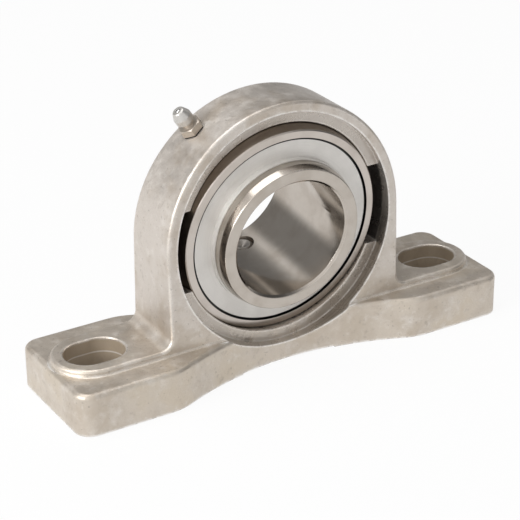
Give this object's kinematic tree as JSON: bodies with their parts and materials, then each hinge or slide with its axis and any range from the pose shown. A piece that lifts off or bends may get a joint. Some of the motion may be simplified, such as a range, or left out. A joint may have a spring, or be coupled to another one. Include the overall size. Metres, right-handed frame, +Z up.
{
  "type": "pillow block bearing",
  "caption": "Cast two-bolt pillow block with slotted feet, grease nipple and a self-aligning set-screw ball bearing insert.",
  "frame": {"origin": "centre of the two-slot bolt pattern on the underside of the base, right below the shaft", "axes": "+X along the base from slot to slot, +Y level across the base towards the set-screw side, +Z up"},
  "size_m": [0.1984, 0.0628, 0.111],
  "materials": {
    "cast_stainless": "bead-blasted investment casting, machined seat and lips",
    "ring_steel": "ground bearing steel",
    "pressed_steel": "pressed bright steel sheet",
    "ball_steel": "polished",
    "spring_steel": "drawn wire",
    "nipple_steel": "plated, machined",
    "screw_steel": "machined",
    "seal_rubber": "moulded nitrile rubber"
  },
  "bodies": {
    "housing": {"housing": "cast_stainless", "grease_nipple": "nipple_steel", "nipple_spring": "spring_steel"},
    "nipple_ball": {"nipple_ball": "ball_steel"},
    "insert": {"outer_ring": "ring_steel", "seal_plate_front": "pressed_steel", "seal_plate_rear": "pressed_steel", "seal_lip_front": "seal_rubber", "seal_lip_rear": "seal_rubber"},
    "inner_ring": {"inner_ring": "ring_steel", "flinger_front": "pressed_steel", "flinger_rear": "pressed_steel"},
    "cage": {"cage_front": "pressed_steel", "cage_rear": "pressed_steel", "cage_rivets": "pressed_steel"},
    "set_screw_1": {"set_screw_1": "screw_steel"},
    "set_screw_2": {"set_screw_2": "screw_steel"},
    "ball_01": {"ball_01": "ball_steel"},
    "ball_02": {"ball_02": "ball_steel"},
    "ball_03": {"ball_03": "ball_steel"},
    "ball_04": {"ball_04": "ball_steel"},
    "ball_05": {"ball_05": "ball_steel"},
    "ball_06": {"ball_06": "ball_steel"},
    "ball_07": {"ball_07": "ball_steel"},
    "ball_08": {"ball_08": "ball_steel"},
    "ball_09": {"ball_09": "ball_steel"},
    "ball_10": {"ball_10": "ball_steel"}
  },
  "joints": [
    {"name": "insert_tilt", "type": "hinge", "parent": "housing", "child": "insert", "pos_m": [0, 0, 0.0572], "axis": [1, 0, 0], "range_deg": [-11.2, 0]},
    {"name": "inner_spin", "type": "hinge", "parent": "insert", "child": "inner_ring", "pos_m": [0, 0, 0.0572], "axis": [0, 0.9952, 0.0976], "continuous": true},
    {"name": "cage_spin", "type": "hinge", "parent": "insert", "child": "cage", "pos_m": [0, 0, 0.0572], "axis": [0, 0.9952, 0.0976], "continuous": true},
    {"name": "nipple_check", "type": "slide", "parent": "housing", "child": "nipple_ball", "axis": [-0.5764, 0, 0.8171], "range_m": [-0.0008, 0], "stiffness_N_per_m": 600, "springref_m": 0.0008, "deforming": ["nipple_spring"]},
    {"name": "set_screw_1_travel", "type": "slide", "parent": "inner_ring", "child": "set_screw_1", "axis": [0.1392, 0.0966, -0.9855], "range_m": [-0.0003, 0.003]},
    {"name": "set_screw_2_travel", "type": "slide", "parent": "inner_ring", "child": "set_screw_2", "axis": [-0.9272, -0.0366, 0.3728], "range_m": [-0.0003, 0.003]},
    {"name": "ball_01_spin", "type": "hinge", "parent": "cage", "child": "ball_01", "pos_m": [0.035, 0, 0.0572], "axis": [0, 0.9952, 0.0976], "continuous": true},
    {"name": "ball_02_spin", "type": "hinge", "parent": "cage", "child": "ball_02", "pos_m": [0.02832, -0.00201, 0.07767], "axis": [0, 0.9952, 0.0976], "continuous": true},
    {"name": "ball_03_spin", "type": "hinge", "parent": "cage", "child": "ball_03", "pos_m": [0.01082, -0.00325, 0.09033], "axis": [0, 0.9952, 0.0976], "continuous": true},
    {"name": "ball_04_spin", "type": "hinge", "parent": "cage", "child": "ball_04", "pos_m": [-0.01082, -0.00325, 0.09033], "axis": [0, 0.9952, 0.0976], "continuous": true},
    {"name": "ball_05_spin", "type": "hinge", "parent": "cage", "child": "ball_05", "pos_m": [-0.02832, -0.00201, 0.07767], "axis": [0, 0.9952, 0.0976], "continuous": true},
    {"name": "ball_06_spin", "type": "hinge", "parent": "cage", "child": "ball_06", "pos_m": [-0.035, 0, 0.0572], "axis": [0, 0.9952, 0.0976], "continuous": true},
    {"name": "ball_07_spin", "type": "hinge", "parent": "cage", "child": "ball_07", "pos_m": [-0.02832, 0.00201, 0.03673], "axis": [0, 0.9952, 0.0976], "continuous": true},
    {"name": "ball_08_spin", "type": "hinge", "parent": "cage", "child": "ball_08", "pos_m": [-0.01082, 0.00325, 0.02407], "axis": [0, 0.9952, 0.0976], "continuous": true},
    {"name": "ball_09_spin", "type": "hinge", "parent": "cage", "child": "ball_09", "pos_m": [0.01082, 0.00325, 0.02407], "axis": [0, 0.9952, 0.0976], "continuous": true},
    {"name": "ball_10_spin", "type": "hinge", "parent": "cage", "child": "ball_10", "pos_m": [0.02832, 0.00201, 0.03673], "axis": [0, 0.9952, 0.0976], "continuous": true}
  ],
  "couplings": [
    {"joint": "cage_spin", "follows": "inner_spin", "ratio": 0.40929},
    {"joint": "ball_01_spin", "follows": "inner_spin", "ratio": -2.6652},
    {"joint": "ball_02_spin", "follows": "inner_spin", "ratio": -2.6652},
    {"joint": "ball_03_spin", "follows": "inner_spin", "ratio": -2.6652},
    {"joint": "ball_04_spin", "follows": "inner_spin", "ratio": -2.6652},
    {"joint": "ball_05_spin", "follows": "inner_spin", "ratio": -2.6652},
    {"joint": "ball_06_spin", "follows": "inner_spin", "ratio": -2.6652},
    {"joint": "ball_07_spin", "follows": "inner_spin", "ratio": -2.6652},
    {"joint": "ball_08_spin", "follows": "inner_spin", "ratio": -2.6652},
    {"joint": "ball_09_spin", "follows": "inner_spin", "ratio": -2.6652},
    {"joint": "ball_10_spin", "follows": "inner_spin", "ratio": -2.6652}
  ]
}
